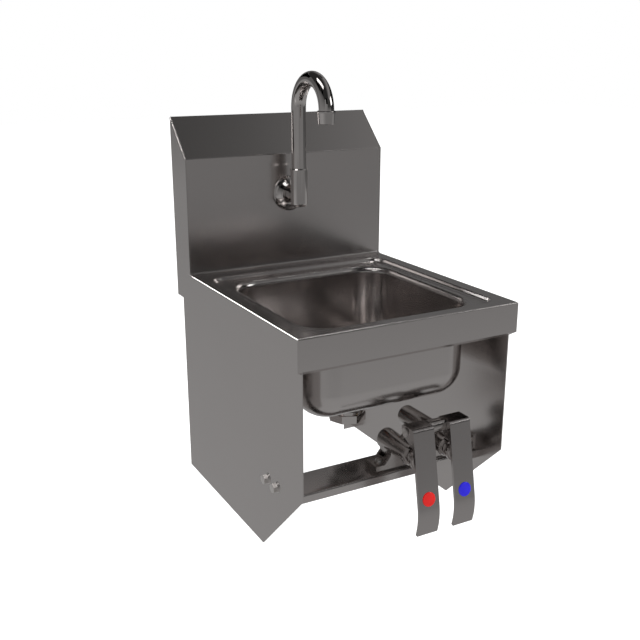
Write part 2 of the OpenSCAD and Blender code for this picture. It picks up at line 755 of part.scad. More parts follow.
module outlet_sleeve() {
    top_r = spout_r + sleeve_wall;
    mouth = spout_r + sleeve_lip;
    color([0.84, 0.84, 0.85]) translate([0, -spout_y - 2 * arch_r, sleeve_mouth]) difference() {
        rotate_extrude() polygon([[0, 0], [mouth - seal_r, 0], [mouth, seal_r],
            [top_r, sleeve_len - 2 * seal_r],
            [top_r - seal_r, sleeve_len], [0, sleeve_len]]);
        translate([0, 0, -over]) cylinder(r = spout_r + run_gap, h = sleeve_len + 2 * over);
    }
}

module aerator() {
    plate_t = 2;
    hole_r = 1;
    color([0.3, 0.3, 0.3]) translate([0, -spout_y - 2 * arch_r, spout_tip - plate_t]) difference() {
        cylinder(r = spout_r, h = plate_t);
        for (row = [1, 2]) for (k = [0:6 * row - 1])
            rotate([0, 0, 60 * k / row]) translate([row * spout_r / 3, 0, -over])
                cylinder(r = hole_r, h = plate_t + 2 * over, $fn = 16);
    }
}

// Valve casting
barrel_z = rail_z + barrel_rise;
mixer_z = barrel_z + mixer_rise;
hot_x = valve_x - valve_pitch / 2;
cold_x = valve_x + valve_pitch / 2;
lever_top = -lever_top_drop;
pivot_z = lever_top - pivot_drop;
lever_edge = lever_w / 2;
hub_end = valve_pitch / 2 - lever_edge - free_gap;
mixer_inset = 5;
mixer_lead = 6;
mixer_back = -barrel_back - mixer_inset;
mixer_front = -barrel_front - mixer_lead;
front_y = -barrel_front;
back_y = -barrel_back;
dome_h = 6;
socket_r = 10.5;
socket_l = 12;
chamber_r = 8;
seat_hole_r = 5;
seat_in = 29;
seat_y = back_y - seat_in;
seat_t = 4;
poppet_bore_r = 8.5;
fitting_l = 12;
duct_r = 5;
duct_wall = 4;
duct_y = seat_y - seat_t - duct_r - over;
neck_half = 13;
foot_reach = 35.7;
foot_inset = 6;
foot_l = 27.4;
foot_y0 = -rail_front + foot_inset;
foot_y1 = foot_y0 + foot_l;
foot_screw_r = 3;
foot_screw_y = (foot_y0 + foot_y1) / 2;
foot_screw_in = 13.1;
foot_screw_xs = [hot_x - foot_reach + foot_screw_in, cold_x + foot_reach - foot_screw_in];
gusset_t = 4;
gusset_h = 11;
gusset_l = 9;

module domed_barrel(x, z, r0, r1, y0, y1) {
    translate([x, 0, z]) rotate([90, 0, 0]) rotate_extrude() polygon(concat([[0, -y0], [r0, -y0]],
        [for (k = [0:6]) [r1 - dome_h * (1 - cos(90 * k / 6)), -y1 + dome_h * (1 - sin(90 * k / 6))]],
        [[0, -y1]]));
}

module duct(x, r) {
    run = valve_x - x;
    length = norm([run, mixer_rise]);
    translate([x, duct_y, barrel_z]) rotate([0, atan2(run, mixer_rise), 0]) cylinder(r = r, h = length);
}

module foot(side) {
    x0 = side > 0 ? cold_x - neck_half : hot_x - foot_reach;
    edge = side > 0 ? cold_x + neck_half : hot_x - neck_half;
    translate([x0, foot_y0, rail_z]) cube([foot_reach + neck_half, foot_y1 - foot_y0, foot_t]);
    translate([(side > 0 ? cold_x : hot_x) - neck_half, foot_y0, rail_z + foot_t])
        cube([2 * neck_half, foot_y1 - foot_y0, barrel_rise - foot_t]);
    for (y = [foot_y0, foot_y1 - gusset_t]) along_y(y, y + gusset_t)
        polygon([[edge + side * gusset_l, rail_z + foot_t],
        [edge, rail_z + foot_t], [edge, rail_z + foot_t + gusset_h]]);
}

module barrel_bores(x) {
    rod_y(x, barrel_z, socket_r, front_y - over, front_y + socket_l);
    rod_y(x, barrel_z, chamber_r, front_y, seat_y - seat_t);
    rod_y(x, barrel_z, seat_hole_r, seat_y - seat_t - over, seat_y + over);
    rod_y(x, barrel_z, poppet_bore_r, seat_y, back_y + over);
}

module valve_body() {
    color([0.55, 0.55, 0.54]) difference() {
        union() {
            domed_barrel(hot_x, barrel_z, barrel_r, barrel_rear_r, front_y, back_y);
            domed_barrel(cold_x, barrel_z, barrel_r, barrel_rear_r, front_y, back_y);
            domed_barrel(valve_x, mixer_z, mixer_r, mixer_r, front_y, mixer_back);
            rod_y(valve_x, mixer_z, hub_end, mixer_front, front_y);
            rod_x(-pivot_y, pivot_z, hub_r, valve_x - hub_end, valve_x + hub_end);
            duct(hot_x, duct_r + duct_wall);
            duct(cold_x, duct_r + duct_wall);
            foot(-1);
            foot(1);
        }
        barrel_bores(hot_x);
        barrel_bores(cold_x);
        rod_y(valve_x, mixer_z, chamber_r, duct_y - duct_r, mixer_back + over);
        duct(hot_x, duct_r);
        duct(cold_x, duct_r);
        rod_x(-pivot_y, pivot_z, pin_r + run_gap, valve_x - hub_end - over, valve_x + hub_end + over);
        for (x = foot_screw_xs) translate([x, foot_screw_y, rail_z - over])
            cylinder(r = foot_screw_r + bolt_gap, h = foot_t + 2 * over);
    }
}

module fitting(x, z, y, plug_r, bore_r) {
    color([0.72, 0.6, 0.35]) difference() {
        rod_y(x, z, plug_r - run_gap, y - fitting_l, y);
        rod_y(x, z, bore_r, y - fitting_l - over, y + over);
    }
}

module inlet_fitting_hot() { fitting(hot_x, barrel_z, back_y, poppet_bore_r, duct_r); }
module inlet_fitting_cold() { fitting(cold_x, barrel_z, back_y, poppet_bore_r, duct_r); }
module outlet_fitting() { fitting(valve_x, mixer_z, mixer_back, chamber_r, duct_r); }

// Bonnets, packing and packing nuts
ring_r = 14.2;
ring_l = 3.5;
hub_l = 3.5;
bonnet_neck_r = 8.6;
bonnet_neck_l = 9;
neck_front = front_y - ring_l - hub_l - bonnet_neck_l;
nut_r = 11;
nut_back = 5;
cap_r = 13.6;
packing_l = 3;
nut_wall = 3;

module bonnet(x) {
    color([0.6, 0.6, 0.6]) difference() {
        union() {
            rod_y(x, barrel_z, socket_r - run_gap, front_y, front_y + socket_l - over);
            rod_y(x, barrel_z, ring_r, front_y - ring_l, front_y);
            translate([x, front_y - ring_l, barrel_z]) rotate([90, 0, 0]) hexagon(2 * nut_r, hub_l);
            rod_y(x, barrel_z, bonnet_neck_r, neck_front, front_y - ring_l);
        }
        rod_y(x, barrel_z, stem_r + run_gap, neck_front - over, front_y + socket_l);
    }
}

module packing(x) {
    color([0.9, 0.9, 0.88]) difference() {
        rod_y(x, barrel_z, bonnet_neck_r, neck_front - packing_l, neck_front);
        rod_y(x, barrel_z, stem_r + run_gap, neck_front - packing_l - over, neck_front + over);
    }
}

module packing_nut(x) {
    nut_front = neck_front - packing_l - nut_wall;
    color([0.65, 0.65, 0.65]) difference() {
        union() {
            rod_y(x, barrel_z, nut_r, nut_front, neck_front + nut_back);
            rod_y(x, barrel_z, cap_r, nut_front + nut_wall / 2, nut_front + nut_wall + packing_l);
        }
        rod_y(x, barrel_z, bonnet_neck_r + run_gap, neck_front - packing_l, neck_front + nut_back + over);
        rod_y(x, barrel_z, stem_r + run_gap, nut_front - over, neck_front);
    }
}

module bonnet_hot() { bonnet(hot_x); }
module bonnet_cold() { bonnet(cold_x); }
module packing_hot() { packing(hot_x); }
module packing_cold() { packing(cold_x); }
module packing_nut_hot() { packing_nut(hot_x); }
module packing_nut_cold() { packing_nut(cold_x); }

// Stems, poppets and springs
poppet_t = 3;
poppet_r = 7;
keeper_r = 4;
keeper_t = 1.5;
pivot_above = pivot_z - barrel_z;
lean_back = (-lever_front + pivot_y) * cos(lever_lean) - pivot_drop * sin(lever_lean) + lever_t;
plate_y = -pivot_y - (pivot_above * sin(lever_lean) - lean_back) / cos(lever_lean);
stem_tip = plate_y + free_gap;
spring_r = 5.5;
spring_wire = 0.7;
spring_turns = 3;

module stem(x) {
    keeper_y = seat_y + poppet_t;
    color([0.78, 0.78, 0.78]) translate([x, 0, barrel_z]) rotate([90, 0, 0]) rotate_extrude() polygon(concat(
        [[0, -keeper_y - keeper_t], [keeper_r, -keeper_y - keeper_t],
            [keeper_r, -keeper_y], [stem_r, -keeper_y]],
        [for (k = [0:6]) [stem_r * cos(90 * k / 6), -stem_tip - stem_r / 2 * (1 - sin(90 * k / 6))]]));
}

module poppet(x) {
    color([0.12, 0.12, 0.12]) difference() {
        rod_y(x, barrel_z, poppet_r, seat_y, seat_y + poppet_t);
        rod_y(x, barrel_z, stem_r + run_gap, seat_y - over, seat_y + poppet_t + over);
    }
}

// A helical tube about Z from z = 0 to z = length
module coil(r, wire, turns, length, sides = 6, steps = 14) {
    n = turns * steps;
    ends = [wire, length - wire];
    points = [for (i = [0:n]) let (a = 360 * i / steps, z = ends[0] + (ends[1] - ends[0]) * i / n)
        for (k = [0:sides - 1]) let (b = 360 * k / sides)
            [(r + wire * cos(b)) * cos(a), (r + wire * cos(b)) * sin(a), z + wire * sin(b)]];
    walls = [for (i = [0:n - 1]) for (k = [0:sides - 1]) let (m = (k + 1) % sides)
        each [[i * sides + k, (i + 1) * sides + m, i * sides + m],
            [i * sides + k, (i + 1) * sides + k, (i + 1) * sides + m]]];
    caps = [[for (k = [0:sides - 1]) k], [for (k = [sides - 1:-1:0]) n * sides + k]];
    polyhedron(points, concat(walls, caps));
}

module spring(x) {
    y0 = seat_y + poppet_t;
    y1 = back_y - fitting_l;
    color([0.7, 0.7, 0.7]) translate([x, y0, barrel_z]) rotate([-90, 0, 0])
        coil(spring_r, spring_wire, spring_turns, y1 - y0);
}

module stem_hot() { stem(hot_x); }
module stem_cold() { stem(cold_x); }
module poppet_hot() { poppet(hot_x); }
module poppet_cold() { poppet(cold_x); }
module spring_hot() { spring(hot_x); }
module spring_cold() { spring(cold_x); }

// Levers
lean_run = lever_h * tan(lever_lean);
curl_in = 5.5;
curl_h = 23;
lever_flange = 23;
ear_t = 3;
ear_r = 9.4;
plate_bend = 2;
plate_start = [-lever_front, lever_top];
plate_end = plate_start + [-lean_run, -lever_h];
lever_tip = plate_end + [curl_in, -curl_h];
dot_shank_r = 2.5;
dot_rise = 1.5;

module lever_plate() {
    bent_sheet([plate_start + [lever_flange, 0], plate_start, plate_end, lever_tip], lever_t,
        [plate_bend, lever_curl_r], 12);
}

module lever_ear() {
    inner = plate_start + [-pivot_drop * tan(lever_lean), -pivot_drop] + [lever_t / 2, 0];
    low_drop = pivot_drop + 2 * ear_r;
    low = plate_start + [-low_drop * tan(lever_lean), -low_drop] + [lever_t / 2, 0];
    pivot = [-pivot_y, pivot_z];
    polygon(concat([inner, low], quarter(pivot, ear_r, -45, 45, 4),
        [[-pivot_y + ear_r, lever_top - lever_t / 2], [-lever_front + lever_t, lever_top - lever_t / 2]]));
}

module lever(x) {
    x0 = x - lever_edge;
    x1 = x + lever_edge;
    color([0.62, 0.62, 0.61]) difference() {
        union() {
            along_x(x0, x1) lever_plate();
            along_x(x0, x0 + ear_t) lever_ear();
            along_x(x1 - ear_t, x1) lever_ear();
        }
        rod_x(-pivot_y, pivot_z, pin_r + run_gap, x0 - over, x1 + over);
        translate([x, 0, 0]) on_plate() translate([0, 0, -over])
            cylinder(r = dot_shank_r + run_gap, h = lever_t + 2 * over);
    }
}

// Puts its children on the plate's back face at the dot, with +Z pointing out through the front
module on_plate() {
    translate([0, -lever_front - dot_drop * tan(lever_lean) + lever_t / cos(lever_lean),
            lever_top - dot_drop])
        rotate([90 - lever_lean, 0, 0]) children();
}

module index_dot(x) {
    translate([x, 0, 0]) on_plate() {
        cylinder(r = dot_shank_r, h = lever_t);
        translate([0, 0, lever_t]) rotate_extrude() polygon(concat([[0, 0]],
            [for (k = [0:5]) [dot_r - dot_rise * (1 - cos(90 * k / 5)), dot_rise * sin(90 * k / 5)]],
            [[0, dot_rise]]));
    }
}

module lever_hot() { lever(hot_x); }
module lever_cold() { lever(cold_x); }
module index_hot() { color([0.86, 0.12, 0.1]) index_dot(hot_x); }
module index_cold() { color([0.12, 0.1, 0.85]) index_dot(cold_x); }

head_r = 6;
head_t = 2;
slot_w = 1.4;
pin_x0 = hot_x - lever_edge - free_gap;
pin_x1 = cold_x + lever_edge + free_gap;
clip_t = 1.2;
groove_r = pin_r * 0.75;

module pivot_pin() {
    color([0.8, 0.8, 0.8]) difference() {
        union() {
            rod_x(-pivot_y, pivot_z, pin_r, pin_x0, pin_x1 + 2 * clip_t);
            rod_x(-pivot_y, pivot_z, head_r, pin_x0 - head_t, pin_x0);
        }
        translate([pin_x0 - head_t, -pivot_y, pivot_z]) rotate([45, 0, 0])
            cube([head_t, slot_w, 2 * head_r + over], center = true);
        rod_x_groove();
    }
}

module rod_x_groove() {
    difference() {
        rod_x(-pivot_y, pivot_z, pin_r + over, pin_x1, pin_x1 + clip_t);
        rod_x(-pivot_y, pivot_z, groove_r, pin_x1 - over, pin_x1 + clip_t + over);
    }
}

module pivot_clip() {
    color([0.4, 0.4, 0.42]) difference() {
        rod_x(-pivot_y, pivot_z, head_r, pin_x1, pin_x1 + clip_t);
        rod_x(-pivot_y, pivot_z, groove_r + run_gap, pin_x1 - over, pin_x1 + clip_t + over);
        translate([pin_x1 - over, -pivot_y - slot_w, pivot_z - head_r - over])
            cube([clip_t + 2 * over, 2 * slot_w, head_r]);
    }
}

// Foot screws and nuts
screw_head_r = 5.5;
screw_head_h = 4;

module foot_screws() {
    color([0.85, 0.85, 0.85]) for (x = foot_screw_xs)
        translate([x, foot_screw_y, rail_z + foot_t]) difference() {
        union() {
            cylinder(r = screw_head_r + washer_t, h = washer_t);
            translate([0, 0, washer_t]) rotate_extrude() polygon(concat([[0, 0]],
                [for (k = [0:5]) [screw_head_r * cos(90 * k / 5), screw_head_h * sin(90 * k / 5)]]));
            translate([0, 0, -foot_t - rail_t - nut_h - washer_t])
                cylinder(r = foot_screw_r, h = foot_t + rail_t + nut_h + 2 * washer_t);
        }
        translate([-screw_head_r, -slot_w / 2, washer_t + screw_head_h / 2])
            cube([2 * screw_head_r, slot_w, screw_head_h]);
    }
}

module foot_nuts() {
    color([0.7, 0.7, 0.7]) for (x = foot_screw_xs)
        translate([x, foot_screw_y, rail_z - rail_t - nut_h]) difference() {
        hexagon(rail_bolt_af, nut_h);
        translate([0, 0, -over]) cylinder(r = foot_screw_r + run_gap, h = nut_h + 2 * over);
    }
}

basin();
backsplash();
splash_end_left();
splash_end_right();
skirt_left();
skirt_right();
wall_bracket();
hanger_strip();
valve_rail();
rail_bolts();
rail_nuts();
drain_body();
drain_strainer();
drain_gasket();
drain_washer();
drain_locknut();
slip_nut();
slip_washer();
faucet_escutcheon();
faucet_shank();
shank_washer();
shank_nut();
faucet_body();
spout_nut();
spout();
spout_seals();
outlet_sleeve();
aerator();
valve_body();
inlet_fitting_hot();
inlet_fitting_cold();
outlet_fitting();
bonnet_hot();
bonnet_cold();
packing_hot();
packing_cold();
packing_nut_hot();
packing_nut_cold();
stem_hot();
stem_cold();
poppet_hot();
poppet_cold();
spring_hot();
spring_cold();
lever_hot();
lever_cold();
index_hot();
index_cold();
pivot_pin();
pivot_clip();
foot_screws();
foot_nuts();
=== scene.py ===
# Wall-hung stainless hand wash sink with knee levers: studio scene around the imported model
import json
import math
import bmesh
import bpy
from mathutils import Matrix, Vector


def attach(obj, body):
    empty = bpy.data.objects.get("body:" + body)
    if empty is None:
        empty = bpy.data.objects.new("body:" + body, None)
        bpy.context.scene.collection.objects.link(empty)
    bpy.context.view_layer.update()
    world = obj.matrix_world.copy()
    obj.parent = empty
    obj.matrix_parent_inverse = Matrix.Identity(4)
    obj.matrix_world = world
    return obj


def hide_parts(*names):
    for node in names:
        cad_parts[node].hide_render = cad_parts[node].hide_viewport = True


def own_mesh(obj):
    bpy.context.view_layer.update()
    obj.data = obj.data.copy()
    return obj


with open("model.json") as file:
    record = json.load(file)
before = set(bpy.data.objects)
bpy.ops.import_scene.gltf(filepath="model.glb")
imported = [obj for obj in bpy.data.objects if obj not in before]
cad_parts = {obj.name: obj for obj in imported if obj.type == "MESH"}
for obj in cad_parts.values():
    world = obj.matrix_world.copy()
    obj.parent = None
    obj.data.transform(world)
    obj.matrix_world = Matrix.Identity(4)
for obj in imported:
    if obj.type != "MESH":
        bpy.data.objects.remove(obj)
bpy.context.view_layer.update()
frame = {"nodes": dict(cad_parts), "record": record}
nodes = frame["nodes"]
bodyOfNode = {n: b for b, names in frame["record"]["behaviour"]["bodies"].items() for n in names}
slotOfNode = {s["node"]: s["material_slot"] for s in frame["record"]["subparts"]}
scene = bpy.context.scene
print("frame loaded:", len(nodes), "nodes")


def objectFrom(bm, name):
    mesh = bpy.data.meshes.new(name)
    bm.to_mesh(mesh)
    bm.free()
    obj = bpy.data.objects.new(name, mesh)
    scene.collection.objects.link(obj)
    return obj


def emptyMaterial(name):
    mat = bpy.data.materials.new(name)
    mat.use_nodes = True
    mat.node_tree.nodes.clear()
    return mat, mat.node_tree


def aimAt(obj, place, target):  # a camera or a lamp looks along its own -Z
    obj.location = place
    obj.rotation_mode = "QUATERNION"
    obj.rotation_quaternion = (Vector(target) - Vector(place)).to_track_quat("-Z", "Y")


# Camera, at the photograph's angle
cameraView = {"place": (-0.58283, -1.2086, 0.30707), "target": (-0.007858, -0.163636, -0.059201),
              "lens": 49.418, "sensor": 36.0, "clip": (0.01, 100.0)}


def addCamera(view):
    data = bpy.data.cameras.new("camera")
    data.lens, data.sensor_width = view["lens"], view["sensor"]
    data.clip_start, data.clip_end = view["clip"]
    cam = bpy.data.objects.new("camera", data)
    scene.collection.objects.link(cam)
    aimAt(cam, view["place"], view["target"])
    scene.camera = cam


addCamera(cameraView)
scene.view_settings.view_transform = "Standard"
print("camera placed")

# World: white to the camera, to reflections and through clear pieces, and plain light for all the rest
worldLight = {"white": 1.0, "ambient": 0.85}


def addWorld(values):
    world = bpy.data.worlds.new("studio")
    world.use_nodes = True
    scene.world = world
    tree = world.node_tree
    tree.nodes.clear()
    out = tree.nodes.new("ShaderNodeOutputWorld")
    mix = tree.nodes.new("ShaderNodeMixShader")
    plain = tree.nodes.new("ShaderNodeBackground")
    plain.inputs["Strength"].default_value = values["ambient"]
    plain.inputs["Color"].default_value = (1, 1, 1, 1)
    white = tree.nodes.new("ShaderNodeBackground")
    white.inputs["Strength"].default_value = values["white"]
    white.inputs["Color"].default_value = (1, 1, 1, 1)
    seen = rayMask(tree)
    tree.links.new(seen, mix.inputs[0])
    tree.links.new(plain.outputs[0], mix.inputs[1])
    tree.links.new(white.outputs[0], mix.inputs[2])
    tree.links.new(mix.outputs[0], out.inputs["Surface"])


def rayMask(tree):  # 1 for the camera, a reflection or a clear piece, 0 for the light that falls on things
    path = tree.nodes.new("ShaderNodeLightPath")
    total = path.outputs["Is Camera Ray"]
    for other in ("Is Glossy Ray", "Is Transmission Ray"):
        highest = tree.nodes.new("ShaderNodeMath")
        highest.operation = "MAXIMUM"
        tree.links.new(total, highest.inputs[0])
        tree.links.new(path.outputs[other], highest.inputs[1])
        total = highest.outputs[0]
    return total


addWorld(worldLight)
print("world lit")

# Floor: pale, keeps the shadow, and glows enough to show white to the camera
floorPlate = {"half": 14.0, "squares": 4, "height": -0.86, "colour": (0.8, 0.8, 0.8, 1), "glow": 0.62}


def addFloor(plate):
    bm = bmesh.new()
    bmesh.ops.create_grid(bm, x_segments=plate["squares"], y_segments=plate["squares"], size=plate["half"],
                          matrix=Matrix.Translation((0, 0, plate["height"])))
    obj = objectFrom(bm, "studioFloor")
    mat, tree = emptyMaterial("paleFloor")
    out = tree.nodes.new("ShaderNodeOutputMaterial")
    paint = tree.nodes.new("ShaderNodeBsdfDiffuse")
    paint.inputs["Color"].default_value = plate["colour"]
    glow = tree.nodes.new("ShaderNodeEmission")
    strength = tree.nodes.new("ShaderNodeMath")
    strength.operation = "MULTIPLY"
    strength.inputs[1].default_value = plate["glow"]
    tree.links.new(rayMask(tree), strength.inputs[0])
    tree.links.new(strength.outputs[0], glow.inputs["Strength"])
    both = tree.nodes.new("ShaderNodeAddShader")
    tree.links.new(paint.outputs[0], both.inputs[0])
    tree.links.new(glow.outputs[0], both.inputs[1])
    tree.links.new(both.outputs[0], out.inputs["Surface"])
    obj.data.materials.append(mat)


addFloor(floorPlate)
print("floor laid")

# Studio cards: a dim room round the object, and bright panels inside it, that only reflections see. A card
# with "fade" runs along that axis, from its first strength at the first place to its second at the second.
# A card with "lights" shows only in the pieces named there.
studioCards = {
    "floorFront": {"centre": (0, -3.3, -0.82), "size": (12.0, 5.4), "facing": (0, 0, 1),
                   "fade": ("Y", -3.8, -1.2), "strength": (0.22, 0.37)},
    "floorBack": {"centre": (0, 2.4, -0.82), "size": (12.0, 6.0), "facing": (0, 0, 1),
                  "fade": ("Y", -0.6, 4.0), "strength": (0.38, 0.31)},
    "frontLeft": {"centre": (-3.4, -6.0, 1.6), "size": (5.2, 4.9), "facing": (0, 1, 0),
                  "fade": ("X", -4.0, -0.8), "strength": (0.28, 0.2)},
    "frontRight": {"centre": (2.6, -6.0, 1.6), "size": (6.8, 4.9), "facing": (0, 1, 0),
                   "fade": ("Z", -0.1, 1.2), "strength": (0.24, 0.06)},
    "backWall": {"centre": (0, 5.4, 1.6), "size": (12.0, 4.9), "facing": (0, -1, 0),
                 "fade": ("Z", -0.8, 0.2), "strength": (0.34, 0.135)},
    "leftWall": {"centre": (-6.0, -0.3, 1.6), "size": (11.4, 4.9), "facing": (1, 0, 0),
                 "fade": ("Z", -0.8, 3.6), "strength": (0.3, 0.1)},
    "rightWall": {"centre": (6.0, -0.3, 1.6), "size": (11.4, 4.9), "facing": (-1, 0, 0),
                  "fade": ("Z", -0.8, 0.6), "strength": (0.15, 0.02)},
    "ceilingLeft": {"centre": (-2.5, -0.3, 4.0), "size": (7.0, 11.4), "facing": (0, 0, -1),
                    "strength": 0.03},
    "ceilingRight": {"centre": (3.5, -0.3, 4.0), "size": (5.0, 11.4), "facing": (0, 0, -1),
                     "fade": ("X", 1.5, 2.9), "strength": (0.09, 0.27)},
    "leftPanel": {"centre": (-3.1, -0.2, -0.8), "size": (1.0, 1.1), "facing": (0, 0, 1),
                  "strength": 0.62},
    "overPanel": {"centre": (-0.75, -0.25, 2.2), "size": (1.6, 0.7), "facing": (0.8, 0.2, -2.2),
                  "fade": ("Y", -1.1, 0.6), "strength": (1.8, 2.8)},
    "edgePanel": {"centre": (-0.55, 1.75, 1.05), "size": (1.3, 0.7), "facing": (0.5, -1.95, -1.05),
                  "strength": 7.5, "lights": ("basin",)},
    "topPanel": {"centre": (1.2, 0.85, 2.3), "size": (0.5, 0.6), "facing": (-1.2, -1.1, -2.3),
                 "strength": 6.0, "lights": ("basin",)},
    "cornerPanel": {"centre": (-1.9, -0.9, 1.95), "size": (0.9, 0.7), "facing": (2.0, 0.8, -1.9),
                    "strength": 1.8, "lights": ("basin",)},
    "slopePanel": {"centre": (-0.65, -2.2, 1.2), "size": (0.9, 0.7), "facing": (0.7, 2.0, -1.2),
                   "strength": 1.9, "lights": ("backsplash",)},
    "splashPanel": {"centre": (-1.9, 0.42, 1.75), "size": (1.0, 0.9), "facing": (1.75, -0.45, -1.55),
                    "strength": 18.0, "lights": ("splash_end_left",)},
    "rightPanel": {"centre": (2.3, -1.7, 1.15), "size": (1.2, 0.9), "facing": (-2.3, 1.6, -1.0),
                   "strength": 2.8},
}


def addCard(name, card):
    facing = Vector(card["facing"])
    turn = facing.to_track_quat("Z", "Y").to_matrix().to_4x4()
    bm = bmesh.new()
    bmesh.ops.create_grid(bm, x_segments=1, y_segments=1, size=0.5)  # a square of 1 m, then its own size
    bmesh.ops.scale(bm, vec=(card["size"][0], card["size"][1], 1), verts=bm.verts)
    bmesh.ops.transform(bm, matrix=Matrix.Translation(card["centre"]) @ turn, verts=bm.verts)
    obj = objectFrom(bm, name)
    obj.visible_camera = obj.visible_diffuse = obj.visible_shadow = obj.visible_transmission = False
    mat, tree = emptyMaterial(name)
    out = tree.nodes.new("ShaderNodeOutputMaterial")
    glow = tree.nodes.new("ShaderNodeEmission")
    tree.links.new(glow.outputs[0], out.inputs["Surface"])
    if "fade" in card:
        fadeStrength(tree, glow, card["fade"], card["strength"])
    else:
        glow.inputs["Strength"].default_value = card["strength"]
    obj.data.materials.append(mat)


def fadeStrength(tree, glow, fade, strengths):
    axis, start, end = fade
    place = tree.nodes.new("ShaderNodeTexCoord")
    parts = tree.nodes.new("ShaderNodeSeparateXYZ")
    run = tree.nodes.new("ShaderNodeMapRange")
    run.inputs["From Min"].default_value, run.inputs["From Max"].default_value = start, end
    run.inputs["To Min"].default_value, run.inputs["To Max"].default_value = strengths
    tree.links.new(place.outputs["Object"], parts.inputs[0])
    tree.links.new(parts.outputs[axis], run.inputs["Value"])
    tree.links.new(run.outputs["Result"], glow.inputs["Strength"])


for cardName, cardValues in studioCards.items():
    addCard(cardName, cardValues)
print("cards hung:", len(studioCards))

# Lamps: they light the object but don't show in its metal
lampAim = (0, -0.2, -0.05)
studioLamps = {
    "keyLamp": {"place": (-1.2, -2.0, 1.9), "size": (1.4, 1.1), "power": 18.0},
    "fillLamp": {"place": (1.9, -1.6, 1.4), "size": (1.2, 1.2), "power": 7.0},
    "backLamp": {"place": (-0.6, 1.8, 1.6), "size": (1.4, 0.9), "power": 9.0},
}


def addLamp(name, lamp):
    data = bpy.data.lights.new(name, "AREA")
    data.shape = "RECTANGLE"
    data.size, data.size_y = lamp["size"]
    data.energy = lamp["power"]
    obj = bpy.data.objects.new(name, data)
    scene.collection.objects.link(obj)
    aimAt(obj, lamp["place"], lampAim)
    obj.visible_camera = obj.visible_glossy = False


for lampName, lampValues in studioLamps.items():
    addLamp(lampName, lampValues)
print("lamps set:", len(studioLamps))

# Finishes: every pattern lies in the piece's own space, and its sizes are in noise cells a metre
noiseSpan = (0.3, 0.7)  # where nearly all of a noise texture's values lie
sheetGrain = {"along": 9.0, "across": 1500.0, "detail": 4.0, "cloud": 9.0, "sideways": 0.7,
              "lineRoughness": 0.012, "cloudRoughness": 0.01, "tintShare": 0.015,
              "bump": 0.004, "height": 0.0004}
polishMarks = {"haze": 60.0, "hazeShares": (0.6, 1.6), "stain": 25.0, "stainShare": 0.96,
               "ripple": 90.0, "bump": 0.05}
grainMarks = {"detail": 5.0, "roughness": 0.08, "stainShare": 1 / 12, "tintShares": (0.85, 1.1),
              "height": 0.0003}


def startFinish(name, colour, metallic, roughness):
    mat = bpy.data.materials.new(name)
    mat.use_nodes = True
    tree = mat.node_tree
    shader = tree.nodes["Principled BSDF"]
    shader.inputs["Base Color"].default_value = (*colour, 1)
    shader.inputs["Metallic"].default_value = metallic
    shader.inputs["Roughness"].default_value = roughness
    return mat, tree, shader


def noiseAt(tree, scale, stretch=(1, 1, 1), detail=3.0):
    place = tree.nodes.new("ShaderNodeTexCoord")
    turn = tree.nodes.new("ShaderNodeMapping")
    turn.inputs["Scale"].default_value = stretch
    noise = tree.nodes.new("ShaderNodeTexNoise")
    noise.inputs["Scale"].default_value = scale
    noise.inputs["Detail"].default_value = detail
    tree.links.new(place.outputs["Object"], turn.inputs["Vector"])
    tree.links.new(turn.outputs["Vector"], noise.inputs["Vector"])
    return noise.outputs["Fac"]


def rangeTo(tree, value, low, high):
    fit = tree.nodes.new("ShaderNodeMapRange")
    fit.inputs["From Min"].default_value, fit.inputs["From Max"].default_value = noiseSpan
    fit.inputs["To Min"].default_value, fit.inputs["To Max"].default_value = low, high
    tree.links.new(value, fit.inputs["Value"])
    return fit.outputs["Result"]


def mathOf(tree, operation, a, b):
    step = tree.nodes.new("ShaderNodeMath")
    step.operation = operation
    for socket, value in zip(step.inputs, (a, b)):
        if isinstance(value, (int, float)):
            socket.default_value = value
        else:
            tree.links.new(value, socket)
    return step.outputs[0]


def shade(colour, share):
    return tuple(min(1.0, c * share) for c in colour)


def tint(tree, shader, value, dark, light):
    ramp = tree.nodes.new("ShaderNodeValToRGB")
    for stop, position, colour in zip(ramp.color_ramp.elements, noiseSpan, (dark, light)):
        stop.position = position
        stop.color = (*colour, 1)
    tree.links.new(value, ramp.inputs["Fac"])
    tree.links.new(ramp.outputs["Color"], shader.inputs["Base Color"])


def bumpFrom(tree, shader, value, strength, height):
    bump = tree.nodes.new("ShaderNodeBump")
    bump.inputs["Strength"].default_value = strength
    bump.inputs["Distance"].default_value = height
    tree.links.new(value, bump.inputs["Height"])
    tree.links.new(bump.outputs["Normal"], shader.inputs["Normal"])


